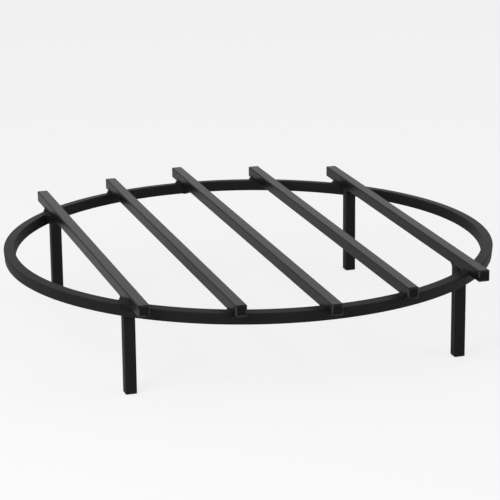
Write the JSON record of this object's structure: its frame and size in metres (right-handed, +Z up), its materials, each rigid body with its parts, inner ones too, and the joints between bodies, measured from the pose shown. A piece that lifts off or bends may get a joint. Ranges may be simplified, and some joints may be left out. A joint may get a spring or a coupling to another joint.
{
  "type": "log grate",
  "caption": "Round steel log grate: parallel square bars laid across a rolled ring on short square legs, all welded, open for air and ash.",
  "frame": {"origin": "on the ground under the middle of the ring", "axes": "+Z up, +Y along the bars towards the back, +X to the right seen from the front"},
  "size_m": [0.563, 0.617, 0.1187],
  "materials": {
    "painted_bar": "satin black high-heat paint on hot-rolled square steel bar",
    "painted_weld": "the same paint over rippled weld beads"
  },
  "bodies": {
    "root": {"ring": "painted_bar", "bar_outer_left": "painted_bar", "bar_inner_left": "painted_bar", "bar_middle": "painted_bar", "bar_inner_right": "painted_bar", "bar_outer_right": "painted_bar", "leg_front_left": "painted_bar", "leg_front_right": "painted_bar", "leg_back_left": "painted_bar", "leg_back_right": "painted_bar", "ring_seam_weld": "painted_weld", "weld_outer_left_front": "painted_weld", "weld_outer_left_back": "painted_weld", "weld_inner_left_front": "painted_weld", "weld_inner_left_back": "painted_weld", "weld_middle_front": "painted_weld", "weld_middle_back": "painted_weld", "weld_inner_right_front": "painted_weld", "weld_inner_right_back": "painted_weld", "weld_outer_right_front": "painted_weld", "weld_outer_right_back": "painted_weld", "weld_leg_front_left": "painted_weld", "weld_leg_front_right": "painted_weld", "weld_leg_back_left": "painted_weld", "weld_leg_back_right": "painted_weld"}
  },
  "joints": []
}
